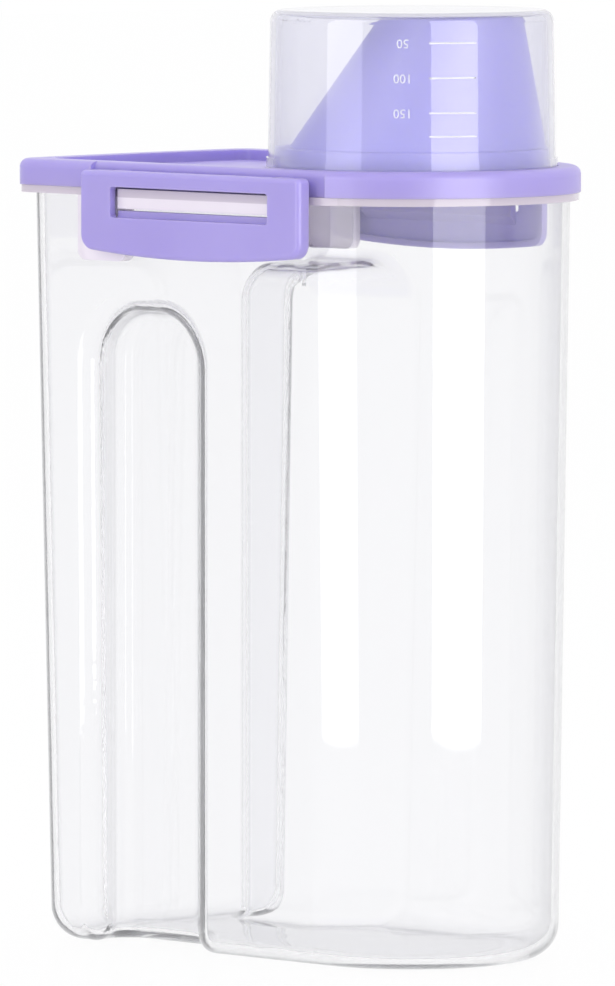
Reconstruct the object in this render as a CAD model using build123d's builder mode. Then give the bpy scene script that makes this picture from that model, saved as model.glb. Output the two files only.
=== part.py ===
from build123d import *
import os

os.makedirs("parts", exist_ok=True)

# Millimetres. X runs along the container, with +X at the pouring end, and Z is up from the floor.
# The origin is the middle of the footprint. The right-hand side, as seen by whoever pours, is -Y.

# Driving dimensions of the outline
lid_length = 164
nose_radius = 48
lid_corner = 8
back_bow = 2

# Heights above the floor
flange_low = 216.2
flange_top = 218.4
neck_top = 221
tray_top = 222.8
seat_top = 225.5
lid_top = 225.8
total_height = 270

# Container
wall = 2.2
base_thickness = 2.8
body_inset_top = 3
body_inset_foot = 6.1
body_corner = 9.4
foot_corner = 9
foot_round = 10
base_inset = 15
grip_floor = 24
grip_back = -58.2
grip_front = -27.6
grip_hook = 0.44
grip_flare = 1
grip_rise = 0.1
grip_reach = 28
grip_round = 4
grip_tops = {-1: 181.5, 1: 191.5}
grip_corners = {-1: 12.8, 1: 8}

# Lid
skirt = 2.8
channel_width = 3.4
channel_top = 223
plug = 2
plug_low = 216.7
plate_low = 220.6

# Clips, centred at clip_x on each long side
clip_x = -2.4
clip_length = 87.3
clip_plate = 2.4
clip_rim = 4.2
clip_rim_wall = 1.8
clip_outer = 53.6
clip_top = 223.7
clip_corner_low = 201.4
clip_low = 199.1
slot_length = 62.6
slot_low = 210.5
slot_top = 219.2
ledge_out = 51.4
ledge_low = 213
ledge_top = 218.6
block_low = 197.7
hinge_y = 48.4
hinge_z = 222
barrel_radius = 1.7
rod_radius = 1
rod_clearance = 0.06
notch_back = -47.2
notch_front = 44.7
notch_depth = 1.7
lug_spacing = 64
lug_width = 5

# Cup and spout, both about the middle of the round nose
collar_radius = 39.25
collar_wall = 2
collar_low = 223.4
collar_top = 231
spout_hole = 36
cone_base_radius = 36.4
cone_base_shift = 2.3
cone_mouth_radius = 20
cone_mouth_shift = 15.4
cone_top = 268.5
cone_wall = 1.8
cup_fit = 0.3
cup_wall = 1.3
cup_roof = 1
cup_taper = 0.7
cup_bead = 41.4

back_x = -lid_length / 2
nose_x = lid_length / 2 - nose_radius
plate_inner = clip_outer - clip_plate
rim_inner = clip_outer - clip_rim
channel_in = skirt + channel_width
tray_in = channel_in + plug


def corner_at(inset):
    """Back corner radius: the lid's outside the body, the body's inside it."""
    if inset < body_inset_top:
        return lid_corner - inset
    return body_corner + body_inset_top - inset


def plan(inset, corner=None):
    """The lid's outline, moved inwards by inset, as a face."""
    corner = corner or corner_at(inset)
    half = nose_radius - inset
    back = back_x + inset
    with BuildSketch() as outline:
        with BuildLine():
            ThreePointArc((nose_x, -half), (nose_x + half, 0), (nose_x, half))
            Line((nose_x, half), (back + back_bow, half))
            ThreePointArc((back + back_bow, half), (back, 0), (back + back_bow, -half))
            Line((back + back_bow, -half), (nose_x, -half))
        make_face()
        fillet(outline.vertices().group_by(Axis.X)[0], corner)
    return outline.sketch


def band(outer, inner):
    """The band between two insets of the outline."""
    with BuildSketch() as strip:
        add(plan(outer))
        add(plan(inner), mode=Mode.SUBTRACT)
    return strip.sketch


def disc(radius, shift=0):
    """A circle about the middle of the nose, moved along X by shift."""
    with BuildSketch() as spot:
        with Locations((nose_x + shift, 0)):
            Circle(radius)
    return spot.sketch


def arch(back, front, top, corner):
    """An arched panel that runs down past the floor."""
    with BuildSketch() as panel:
        with BuildLine():
            Polyline((back, top), (back, -12), (front, -12), (front, top), close=True)
        make_face()
        fillet(panel.vertices().group_by(Axis.Y)[-1], corner)
    return panel.sketch


def grip(side, skin):
    """The space of one hand recess, which leans forwards, grown inwards by skin."""
    top = grip_tops[side] + skin
    corner = grip_corners[side] + skin
    back = grip_back - skin * (1 + grip_hook ** 2) ** 0.5
    front = grip_front + skin * (1 + grip_flare ** 2) ** 0.5
    with BuildPart() as space:
        for out in (-skin, grip_reach):
            with BuildSketch(Plane.XZ.offset(-side * (grip_floor + out))):
                add(arch(back + grip_hook * out, front + grip_flare * out, top + grip_rise * out,
                         corner + 0.2 * out))
        loft(ruled=True)
        panel = space.faces().sort_by(Axis.Y)[-1 if side < 0 else 0]
        fillet(panel.edges().filter_by(lambda e: e.center().Z > -11), grip_round + skin)
    return space.part


def ends_flare(edge):
    """True for the long upright edges where a grip meets the outer wall."""
    return abs(edge.center().Y) > 34 and edge.bounding_box().size.Z > 100


def notch_profile(side):
    """Section of the notch for a clip, with the lid's rim rounded over it."""
    wall_at = nose_radius - notch_depth
    bend = 1.8
    middle = (side * (wall_at - bend + bend * 0.5 ** 0.5), lid_top - bend + bend * 0.5 ** 0.5)
    with BuildSketch() as profile:
        with BuildLine():
            Polyline((side * wall_at, lid_top - bend), (side * wall_at, flange_top), (side * 50, flange_top),
                     (side * 50, lid_top), (side * (wall_at - bend), lid_top))
            ThreePointArc((side * wall_at, lid_top - bend), middle, (side * (wall_at - bend), lid_top))
        make_face()
    return profile.sketch


def clip_outline(inset):
    """Front view of a clip, moved inwards by inset; the pocket behind stops under the barrel."""
    back = clip_x - clip_length / 2 + inset
    front = clip_x + clip_length / 2 - inset
    top = clip_top if inset == 0 else hinge_z - barrel_radius - 0.4
    corner_low = clip_corner_low + inset
    with BuildSketch() as outline:
        with BuildLine():
            Polyline((front, corner_low), (front, top), (back, top), (back, corner_low))
            ThreePointArc((back, corner_low), (clip_x, clip_low + inset), (front, corner_low))
        make_face()
        fillet(outline.vertices().group_by(Axis.Y)[0], 4.5 - inset)
        fillet(outline.vertices().group_by(Axis.Y)[-1], 1.5)
    return outline.sketch


grips_outside = [grip(side, 0) for side in (-1, 1)]
grips_inside = [grip(side, wall) for side in (-1, 1)]
grips_base = [grip(side, 6) for side in (-1, 1)]

# Inside of the container, as a solid
with BuildPart() as hollow:
    with BuildSketch(Plane.XY.offset(base_thickness)):
        add(plan(body_inset_foot + wall, foot_corner - wall))
    with BuildSketch(Plane.XY.offset(flange_low)):
        add(plan(body_inset_top + wall))
    loft(ruled=True)
    fillet(hollow.edges().group_by(Axis.Z)[0], foot_round - wall)
    for space in grips_inside:
        add(space, mode=Mode.SUBTRACT)
    fillet(hollow.edges().filter_by(ends_flare), 3.4)
    with BuildSketch(Plane.XY.offset(flange_low)):
        add(plan(body_inset_top + wall))
    extrude(amount=neck_top - flange_low + 1)

# Shallow recess of the base, which leaves a foot to stand on
with BuildPart() as base_recess:
    with BuildSketch():
        add(plan(body_inset_foot + base_inset, 5))
    extrude(amount=0.8)
    for space in grips_base:
        add(space, mode=Mode.SUBTRACT)

# Container: clear body with its grip waist, rim flange and catches
with BuildPart() as container:
    with BuildSketch():
        add(plan(body_inset_foot, foot_corner))
    with BuildSketch(Plane.XY.offset(flange_low)):
        add(plan(body_inset_top))
    loft(ruled=True)
    fillet(container.edges().group_by(Axis.Z)[0], foot_round)
    for space in grips_outside:
        add(space, mode=Mode.SUBTRACT)
    fillet(container.edges().filter_by(ends_flare), 5.5)
    with BuildSketch(Plane.XY.offset(flange_low)):
        add(plan(0.4))
    extrude(amount=flange_top - flange_low)
    with BuildSketch(Plane.XY.offset(flange_top)):
        add(plan(body_inset_top))
    extrude(amount=neck_top - flange_top)
    for side in (-1, 1):
        with BuildSketch(Plane.XY.offset(ledge_low)):
            with Locations((clip_x, side * (45 + ledge_out) / 2)):
                Rectangle(slot_length - 2, ledge_out - 45)
        extrude(amount=flange_top - ledge_low)
        with BuildSketch(Plane.XY.offset(flange_top)):
            with Locations((clip_x, side * (46.8 + ledge_out) / 2)):
                Rectangle(slot_length - 2, ledge_out - 46.8)
        extrude(amount=ledge_top - flange_top)
        with BuildSketch(Plane.XZ.offset(39 if side < 0 else -48.2)):
            with Locations((-42.3, (block_low + flange_low) / 2)):
                Rectangle(19.5, flange_low - block_low)
            fillet(vertices().group_by(Axis.Y)[0], 3)
        extrude(amount=9.2)
    add(hollow.part, mode=Mode.SUBTRACT)
    add(base_recess.part, mode=Mode.SUBTRACT)
container.part.label = "container"
export_step(container.part, "parts/container.step")

# Lid: band and rim bead round a sunken tray, with the seat of the cup and the clip hinges
with BuildPart() as lid:
    with BuildSketch(Plane.XY.offset(flange_top)):
        add(plan(0))
    extrude(amount=lid_top - flange_top)
    fillet(lid.edges().group_by(Axis.Z)[-1], 2.4)
    with BuildSketch(Plane.XY.offset(tray_top)):
        add(plan(tray_in))
    extrude(amount=lid_top - tray_top, mode=Mode.SUBTRACT)
    with BuildSketch(Plane.XY.offset(tray_top)):
        add(disc(cup_bead + 0.4))
    extrude(amount=lid_top - tray_top)
    with BuildSketch(Plane.XY.offset(seat_top)):
        add(disc(cup_bead + 0.4))
    extrude(amount=1, mode=Mode.SUBTRACT)
    with BuildSketch(Plane.XY.offset(flange_top)):
        add(band(skirt, channel_in))
    extrude(amount=channel_top - flange_top, mode=Mode.SUBTRACT)
    with BuildSketch(Plane.XY.offset(flange_top)):
        add(plan(tray_in))
    extrude(amount=plate_low - flange_top, mode=Mode.SUBTRACT)
    with BuildSketch(Plane.XY.offset(plug_low)):
        add(band(channel_in, tray_in))
    extrude(amount=flange_top - plug_low)
    with BuildSketch(Plane.XY.offset(tray_top)):
        add(disc(collar_radius + 0.1))
    extrude(amount=5, mode=Mode.SUBTRACT)
    with BuildSketch(Plane.XY.offset(plate_low)):
        add(disc(spout_hole))
    extrude(amount=5, mode=Mode.SUBTRACT)
    for side in (-1, 1):
        with BuildSketch(Plane.YZ.offset(notch_back)):
            add(notch_profile(side))
        extrude(amount=notch_front - notch_back, mode=Mode.SUBTRACT)
        for end in (-1, 1):
            with BuildSketch(Plane.YZ.offset(clip_x + (end * lug_spacing - lug_width) / 2)):
                with Locations((side * hinge_y, hinge_z)):
                    Circle(barrel_radius)
                with Locations((side * (hinge_y - 1.4), hinge_z)):
                    Rectangle(2.8, 2 * barrel_radius)
                with Locations((side * hinge_y, hinge_z)):
                    Circle(rod_radius + rod_clearance, mode=Mode.SUBTRACT)
                with Locations((side * (hinge_y + 1), hinge_z)):
                    Rectangle(2, 1.7, mode=Mode.SUBTRACT)
            extrude(amount=lug_width)
lid.part.label = "lid"
export_step(lid.part, "parts/lid.step")

# Seal in the channel of the lid, over the neck of the container
with BuildPart() as lid_seal:
    with BuildSketch(Plane.XY.offset(neck_top + 0.15)):
        add(band(skirt + 0.1, channel_in - 0.1))
    extrude(amount=channel_top - neck_top - 0.15)
lid_seal.part.label = "lid_seal"
export_step(lid_seal.part, "parts/lid_seal.step")

# Snap clip of the right-hand side: slotted plate with a rim, hinge rod and catch tooth
with BuildPart() as right_clip:
    with BuildSketch(Plane.XZ.offset(rim_inner)):
        add(clip_outline(0))
    extrude(amount=clip_rim)
    fillet(right_clip.faces().sort_by(Axis.Y)[0].edges(), 1.4)
    with BuildSketch(Plane.XZ.offset(rim_inner)):
        add(clip_outline(clip_rim_wall))
    extrude(amount=clip_rim - clip_plate, mode=Mode.SUBTRACT)
    with BuildSketch(Plane.XZ.offset(plate_inner)):
        with Locations((clip_x, (slot_low + slot_top) / 2)):
            RectangleRounded(slot_length, slot_top - slot_low, 1)
    extrude(amount=clip_plate, mode=Mode.SUBTRACT)
    with BuildSketch(Plane.YZ.offset(clip_x - clip_length / 2 + 3)):
        with Locations((-hinge_y, hinge_z)):
            Circle(barrel_radius)
        with Locations((-(hinge_y + 1), hinge_z)):
            Rectangle(2.2, 2 * barrel_radius)
    extrude(amount=clip_length - 6)
    for end in (-1, 1):
        with BuildSketch(Plane.YZ.offset(clip_x + (end * lug_spacing - lug_width) / 2 - 0.3)):
            with Locations((-(hinge_y - 0.5), hinge_z + 0.9)):
                Rectangle(5, 6)
        extrude(amount=lug_width + 0.6, mode=Mode.SUBTRACT)
    with BuildSketch(Plane.YZ.offset(clip_x - clip_length / 2 + 4)):
        with Locations((-hinge_y, hinge_z)):
            Circle(rod_radius)
    extrude(amount=clip_length - 8)
    with BuildSketch(Plane.YZ.offset(clip_x - slot_length / 2 + 1)):
        with BuildLine():
            Polyline((-plate_inner - 0.2, 206.6), (-48.6, 209.2), (-48.6, 212.4), (-plate_inner, 212.4),
                     (-plate_inner - 0.2, 210.4), close=True)
        make_face()
    extrude(amount=slot_length - 2)
right_clip.part.label = "right_clip"
export_step(right_clip.part, "parts/right_clip.step")

# Snap clip of the left-hand side, the mirror image
with BuildPart() as left_clip:
    mirror(right_clip.part, about=Plane.XZ)
left_clip.part.label = "left_clip"
export_step(left_clip.part, "parts/left_clip.step")

# Spout: collar with snap fingers below and a slanted cone above
with BuildPart() as pour_spout:
    with BuildSketch(Plane.XY.offset(collar_low)):
        add(disc(collar_radius))
    extrude(amount=collar_top - collar_low)
    fillet(pour_spout.edges().group_by(Axis.Z)[-1], 0.8)
    with BuildSketch(Plane.XY.offset(collar_low + 1.6)):
        add(disc(collar_radius - collar_wall))
    extrude(amount=collar_top - collar_low - 3.1, mode=Mode.SUBTRACT)
    with BuildSketch(Plane.XY.offset(collar_low)):
        add(disc(spout_hole - 2))
    extrude(amount=2, mode=Mode.SUBTRACT)
    with BuildSketch(Plane.XY.offset(collar_top)):
        add(disc(cone_base_radius, cone_base_shift))
    with BuildSketch(Plane.XY.offset(cone_top)):
        add(disc(cone_mouth_radius, cone_mouth_shift))
    loft()
    fillet(pour_spout.edges().group_by(Axis.Z)[-1], 0.7)
    with BuildSketch(Plane.XY.offset(collar_top - 1.6)):
        add(disc(cone_base_radius - cone_wall, cone_base_shift))
    with BuildSketch(Plane.XY.offset(cone_top + 0.1)):
        add(disc(cone_mouth_radius - cone_wall, cone_mouth_shift))
    loft(mode=Mode.SUBTRACT)
    with BuildSketch(Plane.XZ):
        with BuildLine():
            Polyline((nose_x + 34, collar_low), (nose_x + 34, 219.2), (nose_x + 35.2, 219.2),
                     (nose_x + 36.7, 220.4), (nose_x + 35.7, 220.4), (nose_x + 35.7, collar_low),
                     close=True)
        make_face()
    finger = revolve(axis=Axis((nose_x, 0, 0), (0, 0, 1)), revolution_arc=24, mode=Mode.PRIVATE)
    for turn in (33, 123, 213, 303):
        add(finger.rotate(Axis((nose_x, 0, 0), (0, 0, 1)), turn))
pour_spout.part.label = "pour_spout"
export_step(pour_spout.part, "parts/pour_spout.step")

# Flat ring under the collar of the spout
with BuildPart() as spout_seal:
    with BuildSketch(Plane.XY.offset(tray_top)):
        add(disc(collar_radius - 0.1))
        add(disc(spout_hole + 0.3), mode=Mode.SUBTRACT)
    extrude(amount=collar_low - tray_top)
spout_seal.part.label = "spout_seal"
export_step(spout_seal.part, "parts/spout_seal.step")

# Measuring cup, upside down over the spout
cup_in = collar_radius + cup_fit
cup_out = cup_in + cup_wall
with BuildPart() as measuring_cup:
    with BuildSketch(Plane.XZ):
        with BuildLine():
            Polyline((nose_x, total_height), (nose_x + cup_out - cup_taper, total_height),
                     (nose_x + cup_out, seat_top + 2.6), (nose_x + cup_bead, seat_top + 2.6),
                     (nose_x + cup_bead, seat_top), (nose_x + cup_in, seat_top),
                     (nose_x + cup_in - cup_taper, total_height - cup_roof),
                     (nose_x, total_height - cup_roof), close=True)
        make_face()
        fillet(vertices().sort_by_distance((nose_x + cup_out, total_height))[0], 3.2)
        fillet(vertices().sort_by_distance((nose_x + cup_in, total_height - cup_roof))[0], 2)
    revolve(axis=Axis((nose_x, 0, 0), (0, 0, 1)))
measuring_cup.part.label = "measuring_cup"
export_step(measuring_cup.part, "parts/measuring_cup.step")
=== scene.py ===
import bpy
import math
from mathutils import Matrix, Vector


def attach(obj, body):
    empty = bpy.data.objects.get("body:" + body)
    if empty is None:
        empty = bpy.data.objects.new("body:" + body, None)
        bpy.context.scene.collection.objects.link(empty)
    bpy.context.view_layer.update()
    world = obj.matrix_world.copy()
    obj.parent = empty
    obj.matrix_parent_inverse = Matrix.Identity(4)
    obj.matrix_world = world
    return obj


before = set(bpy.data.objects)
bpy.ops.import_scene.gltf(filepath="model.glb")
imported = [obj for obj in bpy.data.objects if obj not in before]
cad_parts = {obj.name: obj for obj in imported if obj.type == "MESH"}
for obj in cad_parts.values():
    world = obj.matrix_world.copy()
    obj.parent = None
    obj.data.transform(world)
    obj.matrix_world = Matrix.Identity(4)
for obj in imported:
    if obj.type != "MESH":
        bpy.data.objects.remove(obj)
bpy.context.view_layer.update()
mm = 0.001
print("frame in place,", len(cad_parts), "nodes")


def linear(hexColour):
    # sRGB hex to the linear values that Blender works in
    parts = [int(hexColour[k:k + 2], 16) / 255 for k in (1, 3, 5)]
    return [p / 12.92 if p <= 0.04045 else ((p + 0.055) / 1.055) ** 2.4 for p in parts] + [1]


def addNode(tree, kind, settings, links):
    # a setting goes to the socket of that name or number, or else to the node itself
    # links are socket: (node, output)
    node = tree.nodes.new(kind)
    for name, value in settings.items():
        if isinstance(name, int) or name in node.inputs:
            node.inputs[name].default_value = value
        else:
            setattr(node, name, value)
    for name, (source, output) in links.items():
        tree.links.new(source.outputs[output], node.inputs[name])
    return node


def newMaterial(name):
    material = bpy.data.materials.new(name)
    material.use_nodes = True
    material.node_tree.nodes.clear()
    return material, material.node_tree


def addRelief(tree, vector, size, depth, detail):
    # the faint relief that a mould leaves: noise of that size and depth
    strength = 0.4
    noise = addNode(tree, "ShaderNodeTexNoise", {"Scale": 1 / size, "Detail": detail},
                    {"Vector": vector})
    return addNode(tree, "ShaderNodeBump", {"Strength": strength, "Distance": depth},
                   {"Height": (noise, 0)})


def addEdgeShare(tree, power):
    # 0 where the wall faces the eye, 1 where it is seen edge-on
    turned = addNode(tree, "ShaderNodeLayerWeight", {"Blend": 0.5}, {})
    return addNode(tree, "ShaderNodeMath", {"operation": "POWER", 1: power}, {0: (turned, "Facing")})


def addClearness(tree, wallMilk, milkyParts):
    # clear except where a part is milky; each part is (its share of the surface, how milky it is)
    milk = None
    for share, level in milkyParts:
        part = addNode(tree, "ShaderNodeMath", {"operation": "MULTIPLY", 1: level}, {0: (share, 0)})
        links = {0: (part, 0), 1: (milk, 0)} if milk else {0: (part, 0)}
        milk = addNode(tree, "ShaderNodeMath", {"operation": "MAXIMUM", 1: wallMilk}, links)
    return addNode(tree, "ShaderNodeMath", {"operation": "SUBTRACT", 0: 1}, {1: (milk, 0)})


def letLightThrough(tree, shader, shadow):
    # shadow rays pass with a little loss, so that light reaches what stands inside the plastic
    path = addNode(tree, "ShaderNodeLightPath", {}, {})
    veil = addNode(tree, "ShaderNodeBsdfTransparent", {"Color": linear(shadow)}, {})
    both = addNode(tree, "ShaderNodeMixShader", {},
                   {"Fac": (path, "Is Shadow Ray"), 1: (shader, 0), 2: (veil, 0)})
    addNode(tree, "ShaderNodeOutputMaterial", {}, {"Surface": (both, 0)})


mouldedLavender = {
    "tone": "#A497DB",
    "paleTone": "#AFA3E3",
    "cloudSize": 30 * mm,          # how far the colour drifts in the melt
    "cloudDetail": 2,
    "grainSize": 0.7 * mm,         # fine spark texture of the mould, drawn coarser than life to show
    "grainDetail": 3,
    "grainDepth": 0.012 * mm,
    "grainStrength": 0.5,
    "roughness": (0.3, 0.4),
    "edgeRound": 0.35 * mm,
    "edgeSamples": 4,
    "bending": 1.49,               # index of refraction of polypropylene
    "lightInside": 0.5,            # thin plates let some light through
    "lightDepth": 4 * mm,
    "lightSpread": (0.7, 0.7, 1),  # blue goes deepest in lavender plastic
}
paintedLightSpoutLavender = dict(mouldedLavender, tone="#A6A0F2", paleTone="#AFA9F6")  # painted light: a paler, bluer copy of the lid lavender, for the brighter look of the spout inside the cup


def lavenderPolypropylene(look):
    # opaque injection-moulded polypropylene: satin sheen, a little light inside, soft edges
    material, tree = newMaterial("lavenderPolypropylene")
    place = addNode(tree, "ShaderNodeTexCoord", {}, {})
    clouds = addNode(tree, "ShaderNodeTexNoise",
                     {"Scale": 1 / look["cloudSize"], "Detail": look["cloudDetail"]},
                     {"Vector": (place, "Object")})
    tones = addNode(tree, "ShaderNodeMix",
                    {"data_type": "RGBA", 6: linear(look["tone"]), 7: linear(look["paleTone"])},
                    {"Factor": (clouds, 0)})
    grain = addNode(tree, "ShaderNodeTexNoise",
                    {"Scale": 1 / look["grainSize"], "Detail": look["grainDetail"]},
                    {"Vector": (place, "Object")})
    smooth, rough = look["roughness"]
    sheen = addNode(tree, "ShaderNodeMapRange", {"To Min": smooth, "To Max": rough},
                    {"Value": (grain, 0)})
    rounded = addNode(tree, "ShaderNodeBevel",
                      {"Radius": look["edgeRound"], "samples": look["edgeSamples"]}, {})
    bump = addNode(tree, "ShaderNodeBump",
                   {"Strength": look["grainStrength"], "Distance": look["grainDepth"]},
                   {"Height": (grain, 0), "Normal": (rounded, 0)})
    plastic = addNode(tree, "ShaderNodeBsdfPrincipled",
                      {"IOR": look["bending"], "Subsurface Weight": look["lightInside"],
                       "Subsurface Scale": look["lightDepth"], "Subsurface Radius": look["lightSpread"]},
                      {"Base Color": (tones, 2), "Roughness": (sheen, 0), "Normal": (bump, 0)})
    addNode(tree, "ShaderNodeOutputMaterial", {}, {"Surface": (plastic, 0)})
    return material


clearBody = {
    "tint": "#FCFCFD",
    "paintedShadeTone": "#BDBDC3",         # painted shade: grey where a thin clear wall is seen edge-on, standing in for the darker surroundings it bends into view
    "thickTone": "#D9CFDC",        # milky mauve of the thick rim
    "blockTone": "#F6EEF8",        # paler mauve of the catch ledges and end blocks
    "waveSize": 24 * mm,           # slow waves that the mould leaves in a thin wall
    "waveDepth": 0.04 * mm,
    "waveDetail": 1,
    "waveStretch": (1, 1, 0.25),   # four times as long up the wall, the way the plastic flowed
    "roughness": 0.03,
    "coat": 0.6,
    "coatRoughness": 0.03,
    "bending": 1.22,               # less than the real 1.49, so that wall ends stay as pale as in life
    "wallMilk": 0.015,             # 0 is clear and 1 is opaque
    "edgeMilk": 0.68,
    "edgePower": 3.2,              # higher keeps the milky, painted-grey edge narrower
    "thickMilk": 0.8,
    "blockMilk": 0.88,
    "flangeLow": 216.1 * mm,       # the rim is above this height
    "blockLow": 197 * mm,          # the ledges and blocks are above this height and outside wallOut
    "wallOut": 45.15 * mm,
    "blend": 0.2 * mm,
    "shadow": "#FBFBFC",
}


def clearPolypropylene(look):
    # clear injection-moulded body: glossy, faint slow waves, painted shade that greys it edge-on, milky
    # where it is thick
    material, tree = newMaterial("clearPolypropylene")
    place = addNode(tree, "ShaderNodeTexCoord", {}, {})
    stretch = addNode(tree, "ShaderNodeMapping", {"Scale": look["waveStretch"]},
                      {"Vector": (place, "Object")})
    bump = addRelief(tree, (stretch, 0), look["waveSize"], look["waveDepth"], look["waveDetail"])
    spot = addNode(tree, "ShaderNodeSeparateXYZ", {}, {"Vector": (place, "Object")})
    side = addNode(tree, "ShaderNodeMath", {"operation": "ABSOLUTE"}, {0: (spot, "Y")})
    flange, high, outside = [
        addNode(tree, "ShaderNodeMapRange", {"From Min": low, "From Max": low + look["blend"]},
                {"Value": source})
        for source, low in (((spot, "Z"), look["flangeLow"]), ((spot, "Z"), look["blockLow"]),
                            ((side, 0), look["wallOut"]))]
    block = addNode(tree, "ShaderNodeMath", {"operation": "MULTIPLY"}, {0: (high, 0), 1: (outside, 0)})
    edge = addEdgeShare(tree, look["edgePower"])
    clearness = addClearness(tree, look["wallMilk"], (
        (edge, look["edgeMilk"]), (block, look["blockMilk"]), (flange, look["thickMilk"])))
    # painted shade: the tint turns grey where the wall is seen edge-on
    thin = addNode(tree, "ShaderNodeMix",
                   {"data_type": "RGBA", 6: linear(look["tint"]), 7: linear(look["paintedShadeTone"])},
                   {"Factor": (edge, 0)})
    mauve = addNode(tree, "ShaderNodeMix", {"data_type": "RGBA", 7: linear(look["blockTone"])},
                    {"Factor": (block, 0), 6: (thin, 2)})
    tone = addNode(tree, "ShaderNodeMix", {"data_type": "RGBA", 7: linear(look["thickTone"])},
                   {"Factor": (flange, 0), 6: (mauve, 2)})
    plastic = addNode(tree, "ShaderNodeBsdfPrincipled",
                      {"IOR": look["bending"], "Roughness": look["roughness"],
                       "Coat Weight": look["coat"], "Coat Roughness": look["coatRoughness"]},
                      {"Base Color": (tone, 2), "Transmission Weight": (clearness, 0),
                       "Normal": (bump, 0)})
    letLightThrough(tree, plastic, look["shadow"])
    return material


frostedCup = {
    "tint": "#FAFAFF",
    # painted shade: grey where the cup wall is seen edge-on and on the closed end
    "paintedShadeTone": "#DCDBE4",
    "grainSize": 1.1 * mm,
    "grainDepth": 0.004 * mm,
    "grainDetail": 2,
    "roughness": 0.06,
    "gloss": 0.5,
    "bending": 1.49,
    "wallMilk": 0.1,
    "edgeMilk": 0.75,
    "edgePower": 2.2,
    "roofLow": 268.8 * mm,         # the closed end is above this height, milkier and duller than the wall, and painted grey for the dim reflection seen across it
    "roofBlend": 0.4 * mm,
    "roofMilk": 0.75,
    "roofGloss": 0.12,
    "shadow": "#FAFAFC",
}
raisedMarksPaintedHighlight = dict(frostedCup, wallMilk=0.6)   # painted highlight: the lines and numbers are milkier than the cup, so they look as if they catch a little more light


def frostedPolypropylene(look):
    # natural translucent polypropylene: faintly milky, smooth outside, so strips of light stay crisp
    material, tree = newMaterial("frostedPolypropylene")
    place = addNode(tree, "ShaderNodeTexCoord", {}, {})
    bump = addRelief(tree, (place, "Object"), look["grainSize"], look["grainDepth"],
                     look["grainDetail"])
    spot = addNode(tree, "ShaderNodeSeparateXYZ", {}, {"Vector": (place, "Object")})
    roof = addNode(tree, "ShaderNodeMapRange",
                   {"From Min": look["roofLow"], "From Max": look["roofLow"] + look["roofBlend"]},
                   {"Value": (spot, "Z")})
    edge = addEdgeShare(tree, look["edgePower"])
    clearness = addClearness(tree, look["wallMilk"], (
        (edge, look["edgeMilk"]), (roof, look["roofMilk"])))
    # painted shade: grey where the wall is seen edge-on and on the closed end
    paintedGreyShare = addNode(tree, "ShaderNodeMath", {"operation": "MAXIMUM"}, {0: (edge, 0), 1: (roof, 0)})
    tone = addNode(tree, "ShaderNodeMix",
                   {"data_type": "RGBA", 6: linear(look["tint"]), 7: linear(look["paintedShadeTone"])},
                   {"Factor": (paintedGreyShare, 0)})
    gloss = addNode(tree, "ShaderNodeMapRange", {"To Min": look["gloss"], "To Max": look["roofGloss"]},
                    {"Value": (roof, 0)})
    plastic = addNode(tree, "ShaderNodeBsdfPrincipled",
                      {"IOR": look["bending"], "Roughness": look["roughness"]},
                      {"Base Color": (tone, 2), "Transmission Weight": (clearness, 0),
                       "Specular IOR Level": (gloss, 0), "Normal": (bump, 0)})
    letLightThrough(tree, plastic, look["shadow"])
    return material


softSeal = {
    "tone": "#DAD6DD",
    "grainSize": 0.8 * mm,
    "grainDepth": 0.01 * mm,
    "grainDetail": 2,
    "roughness": 0.5,
    "bending": 1.41,               # index of refraction of silicone
    "clearness": 0.3,
}


def translucentSilicone(look):
    # moulded silicone rubber: pale, dull and slightly see-through
    material, tree = newMaterial("translucentSilicone")
    place = addNode(tree, "ShaderNodeTexCoord", {}, {})
    bump = addRelief(tree, (place, "Object"), look["grainSize"], look["grainDepth"],
                     look["grainDetail"])
    rubber = addNode(tree, "ShaderNodeBsdfPrincipled",
                     {"Base Color": linear(look["tone"]), "IOR": look["bending"],
                      "Roughness": look["roughness"], "Transmission Weight": look["clearness"]},
                     {"Normal": (bump, 0)})
    addNode(tree, "ShaderNodeOutputMaterial", {}, {"Surface": (rubber, 0)})
    return material


lavender = lavenderPolypropylene(mouldedLavender)
# painted light: the spout gets a paler copy of the lid lavender
paintedLightSpoutPlastic = lavenderPolypropylene(paintedLightSpoutLavender)
clear = clearPolypropylene(clearBody)
frosted = frostedPolypropylene(frostedCup)
# painted highlight: milkier plastic for the fill marks
frostedMarksPaintedHighlight = frostedPolypropylene(raisedMarksPaintedHighlight)
silicone = translucentSilicone(softSeal)
finishes = {
    "container": clear,
    "lid": lavender,
    "lid_seal": silicone,
    "right_clip": lavender,
    "left_clip": lavender,
    "pour_spout": paintedLightSpoutPlastic,
    "spout_seal": silicone,
    "measuring_cup": frosted,
}
for name, material in finishes.items():
    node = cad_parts[name]
    node.data.materials.clear()
    node.data.materials.append(material)
print("materials on", len(finishes), "nodes")

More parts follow.
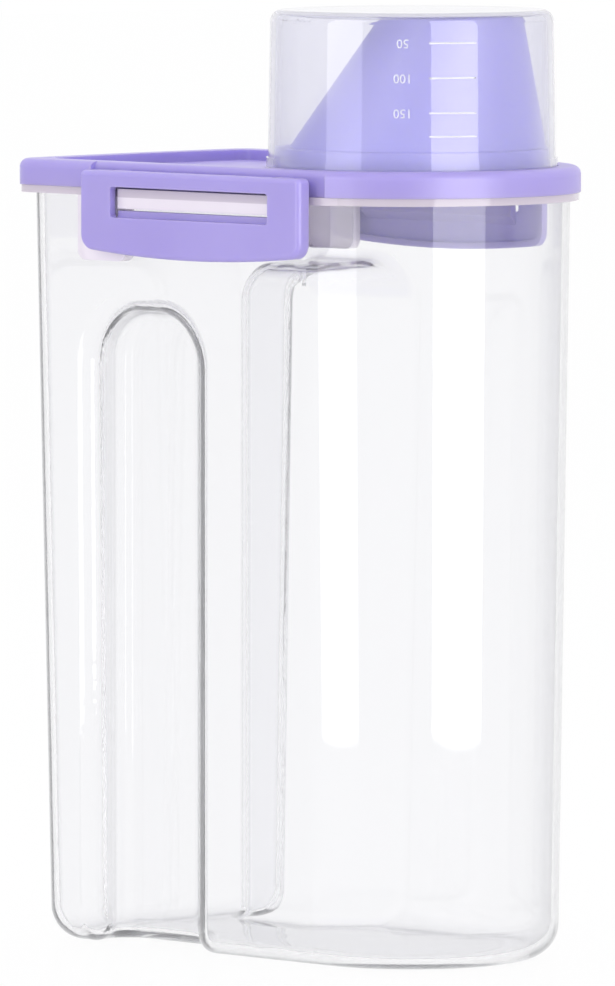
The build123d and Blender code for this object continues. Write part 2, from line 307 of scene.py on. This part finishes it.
cupMarks = {
    "axisX": 34 * mm,
    "lowRadius": 40.85 * mm,       # outer wall just above the rim, at the height lowZ
    "lowZ": 228.1 * mm,
    "taper": 0.7 / 41.9,           # the radius loses 0.7 mm over 41.9 mm of height
    "proud": 0.15 * mm,            # how far the marks stand out of the wall
    "sunk": 0.2 * mm,              # and how far they reach into it
    "from": 50.5,                  # degrees round from the near side, towards the pouring end
    "to": 70,
    "lineWidth": 0.5 * mm,
    "lineSteps": 20,
    "lineRound": 0.1 * mm,
    "roundSteps": 2,
    "smoothAngle": 40,             # degrees
    "numberAt": 40,                # degrees, at the middle of each number
    "numberSize": 3.6 * mm,
    "curveSteps": 4,
    "marks": {261.7: "50", 251.9: "100", 242.1: "150", 235.5: ""},   # height in mm: its number, if any
}
markThickness = cupMarks["proud"] + cupMarks["sunk"]
markMiddle = (cupMarks["proud"] - cupMarks["sunk"]) / 2      # measured outwards from the wall
weldDistance = 0.001 * mm


def wallRadius(z):
    # the outside of the tapered cup at that height
    return cupMarks["lowRadius"] - cupMarks["taper"] * (z - cupMarks["lowZ"])


def onCup(degrees, radius, z):
    # a point round the axis of the cup
    turn = math.radians(degrees)
    return Vector((cupMarks["axisX"] + radius * math.sin(turn), -radius * math.cos(turn), z))


def addFillLine(z, name):
    start = onCup(cupMarks["from"], wallRadius(z) + markMiddle, z)
    bpy.ops.object.select_all(action="DESELECT")
    bpy.ops.mesh.primitive_plane_add(size=1, location=start,
                                     rotation=(math.pi / 2, 0, math.radians(cupMarks["from"] - 90)))
    line = bpy.context.object
    line.name = name
    line.scale = (markThickness, cupMarks["lineWidth"], 1)
    bpy.ops.object.transform_apply(location=True, rotation=True, scale=True)
    bpy.ops.object.mode_set(mode="EDIT")
    bpy.ops.mesh.select_all(action="SELECT")
    bpy.ops.mesh.spin(steps=cupMarks["lineSteps"], axis=(0, 0, 1), center=(cupMarks["axisX"], 0, z),
                      angle=-math.radians(cupMarks["to"] - cupMarks["from"]))
    bpy.ops.mesh.select_all(action="SELECT")
    bpy.ops.mesh.remove_doubles(threshold=weldDistance)
    # known fault: with all selected this adds a stray face, so the rounding below varies a little from
    # run to run; the spin has closed both ends already, so the next line could go
    bpy.ops.mesh.edge_face_add()
    bpy.ops.mesh.select_all(action="SELECT")
    bpy.ops.mesh.normals_make_consistent(inside=False)
    bpy.ops.object.mode_set(mode="OBJECT")
    rounding = line.modifiers.new("round", "BEVEL")
    rounding.width = cupMarks["lineRound"]
    rounding.segments = cupMarks["roundSteps"]
    bpy.ops.object.modifier_apply(modifier="round")
    bpy.ops.object.shade_smooth_by_angle(angle=math.radians(cupMarks["smoothAngle"]))
    return line


def addNumber(words, z, name):
    bpy.ops.object.select_all(action="DESELECT")
    bpy.ops.object.text_add(location=(0, 0, 0))
    number = bpy.context.object
    number.name = name
    number.data.body = words
    number.data.size = cupMarks["numberSize"]
    number.data.extrude = markThickness / 2
    number.data.align_x = "CENTER"
    number.data.align_y = "CENTER"
    number.data.resolution_u = cupMarks["curveSteps"]
    bpy.ops.object.convert(target="MESH")
    radius = wallRadius(z)
    for vertex in number.data.vertices:      # wrapped round the wall, upside down like the cup
        across, up, out = vertex.co
        turn = cupMarks["numberAt"] - math.degrees(across / radius)
        vertex.co = onCup(turn, radius + markMiddle + out, z - up)
    bpy.ops.object.mode_set(mode="EDIT")
    bpy.ops.mesh.select_all(action="SELECT")
    bpy.ops.mesh.remove_doubles(threshold=weldDistance)
    bpy.ops.mesh.normals_make_consistent(inside=False)
    bpy.ops.object.mode_set(mode="OBJECT")
    return number


def dressMark(piece):
    piece.data.materials.clear()
    piece.data.materials.append(frostedMarksPaintedHighlight)
    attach(piece, "cup")


for index, (height, words) in enumerate(cupMarks["marks"].items()):
    dressMark(addFillLine(height * mm, "fill_line_%d" % (index + 1)))
    if words:
        dressMark(addNumber(words, height * mm, "fill_number_" + words))
print("fill lines on the cup")

studio = {
    "floorTone": "#F6F6F8",
    "floorRoughness": 0.25,
    "floorSize": 12,
    "floorGlow": 0.93,             # how much of the floor shows as plain white; the rest keeps the shadow
    "ambient": 0.95,
    # azimuths in degrees round from the near side; distances, heights and sizes in metres
    "frontBox": {"azimuth": 78, "distance": 1.3, "height": 0.35, "size": (0.9, 1.3), "level": 1.0},
    "sideBox": {"azimuth": -10, "distance": 1.3, "height": 0.35, "size": (0.74, 1.3), "level": 0.55},
    "frontStrip": {"azimuth": 78.2, "distance": 0.589, "height": 0.33, "size": (0.384, 0.7), "level": 6},
    "sideStrip": {"azimuth": -8, "distance": 0.559, "height": 0.33, "size": (0.315, 0.7), "level": 3.6},
    "topBox": {"height": 1.6, "size": (1.4, 1.4), "level": 0.5},
}


def addBackgroundRays(tree):
    # 1 for the rays that show the white background: direct, or by way of gloss or clear plastic
    path = addNode(tree, "ShaderNodeLightPath", {}, {})
    direct = addNode(tree, "ShaderNodeMath", {"operation": "MAXIMUM"},
                     {0: (path, "Is Camera Ray"), 1: (path, "Is Glossy Ray")})
    return addNode(tree, "ShaderNodeMath", {"operation": "MAXIMUM"},
                   {0: (direct, 0), 1: (path, "Is Transmission Ray")})


def addFloor():
    bpy.ops.object.select_all(action="DESELECT")
    bpy.ops.mesh.primitive_plane_add(size=studio["floorSize"], location=(0, 0, 0))
    floor = bpy.context.object
    floor.name = "floor"
    material, tree = newMaterial("paperFloor")     # smooth pale paper under the object
    paper = addNode(tree, "ShaderNodeBsdfPrincipled",
                    {"Base Color": linear(studio["floorTone"]),
                     "Roughness": studio["floorRoughness"]}, {})
    glow = addNode(tree, "ShaderNodeEmission", {"Color": (1, 1, 1, 1), "Strength": 1}, {})
    share = addNode(tree, "ShaderNodeMath", {"operation": "MULTIPLY", 1: studio["floorGlow"]},
                    {0: (addBackgroundRays(tree), 0)})
    both = addNode(tree, "ShaderNodeMixShader", {}, {"Fac": (share, 0), 1: (paper, 0), 2: (glow, 0)})
    addNode(tree, "ShaderNodeOutputMaterial", {}, {"Surface": (both, 0)})
    floor.data.materials.append(material)


def setWorld():
    world = bpy.data.worlds.new("studio")
    bpy.context.scene.world = world
    world.use_nodes = True
    tree = world.node_tree
    tree.nodes.clear()
    level = addNode(tree, "ShaderNodeMapRange", {"To Min": studio["ambient"], "To Max": 1},
                    {"Value": (addBackgroundRays(tree), 0)})
    sky = addNode(tree, "ShaderNodeBackground", {"Color": (1, 1, 1, 1)}, {"Strength": (level, 0)})
    addNode(tree, "ShaderNodeOutputWorld", {}, {"Surface": (sky, 0)})


def boxSpot(box):
    turn = math.radians(box["azimuth"])
    return Vector((math.sin(turn) * box["distance"], -math.cos(turn) * box["distance"], box["height"]))


def boxTurn(box):
    # level, towards the axis of the object
    return (Vector((0, 0, box["height"])) - boxSpot(box)).to_track_quat("-Z", "Y")


def addLamp(name, spot, turn):
    # a soft box that lights the object and isn't seen itself
    box = studio[name]
    bpy.ops.object.select_all(action="DESELECT")
    bpy.ops.object.light_add(type="AREA", location=spot)
    lamp = bpy.context.object
    lamp.name = name
    lamp.data.shape = "RECTANGLE"
    lamp.data.size, lamp.data.size_y = box["size"]
    lamp.data.energy = box["level"] * math.pi * box["size"][0] * box["size"][1]
    lamp.rotation_mode = "QUATERNION"
    lamp.rotation_quaternion = turn
    lamp.visible_camera = False
    lamp.visible_transmission = False
    lamp.visible_glossy = False


def addStrip(name):
    # an upright glowing sheet that only shows as a strip of light in glossy plastic
    box = studio[name]
    bpy.ops.object.select_all(action="DESELECT")
    bpy.ops.mesh.primitive_plane_add(size=1, location=boxSpot(box))
    sheet = bpy.context.object
    sheet.name = name
    sheet.rotation_mode = "QUATERNION"
    sheet.rotation_quaternion = boxTurn(box)
    sheet.scale = (*box["size"], 1)
    material, tree = newMaterial(name)
    glow = addNode(tree, "ShaderNodeEmission", {"Color": (1, 1, 1, 1), "Strength": box["level"]}, {})
    addNode(tree, "ShaderNodeOutputMaterial", {}, {"Surface": (glow, 0)})
    sheet.data.materials.append(material)
    sheet.visible_camera = False
    sheet.visible_diffuse = False
    sheet.visible_transmission = False
    sheet.visible_shadow = False


addFloor()
setWorld()
for name in ("frontBox", "sideBox"):
    addLamp(name, boxSpot(studio[name]), boxTurn(studio[name]))
for name in ("frontStrip", "sideStrip"):
    addStrip(name)
straightDown = (1, 0, 0, 0)        # a lamp that isn't turned points down
addLamp("topBox", (0, 0, studio["topBox"]["height"]), straightDown)

photoCamera = {
    "distance": 3.34656,           # metres
    "azimuth": 43.99,              # degrees round from the near side
    "sideShift": 0.0073,
    "height": 0.37573,
    "yaw": 0.179,                  # degrees that the view turns past the azimuth
    "tilt": 4.18,                  # degrees down
    "focalPixels": 11738.63,       # focal length in pixels of the picture
    "longSide": 986,               # the long side of the picture, which the sensor covers
    "sensorWidth": 36,
    "clipEnd": 50,
}


def addCamera():
    turn = math.radians(photoCamera["azimuth"])
    aim = math.radians(photoCamera["azimuth"] + photoCamera["yaw"])
    tilt = math.radians(photoCamera["tilt"])
    spot = Vector((photoCamera["distance"] * math.sin(turn) + photoCamera["sideShift"],
                   -photoCamera["distance"] * math.cos(turn), photoCamera["height"]))
    ahead = Vector((-math.sin(aim) * math.cos(tilt), math.cos(aim) * math.cos(tilt), -math.sin(tilt)))
    data = bpy.data.cameras.new("photoCamera")
    data.sensor_width = photoCamera["sensorWidth"]
    data.lens = photoCamera["focalPixels"] / photoCamera["longSide"] * data.sensor_width
    data.clip_end = photoCamera["clipEnd"]
    camera = bpy.data.objects.new("photoCamera", data)
    bpy.context.scene.collection.objects.link(camera)
    camera.location = spot
    camera.rotation_mode = "QUATERNION"
    camera.rotation_quaternion = ahead.to_track_quat("-Z", "Y")
    bpy.context.scene.camera = camera


addCamera()
bpy.context.scene.view_settings.view_transform = "Standard"
print("stage, light and camera set")
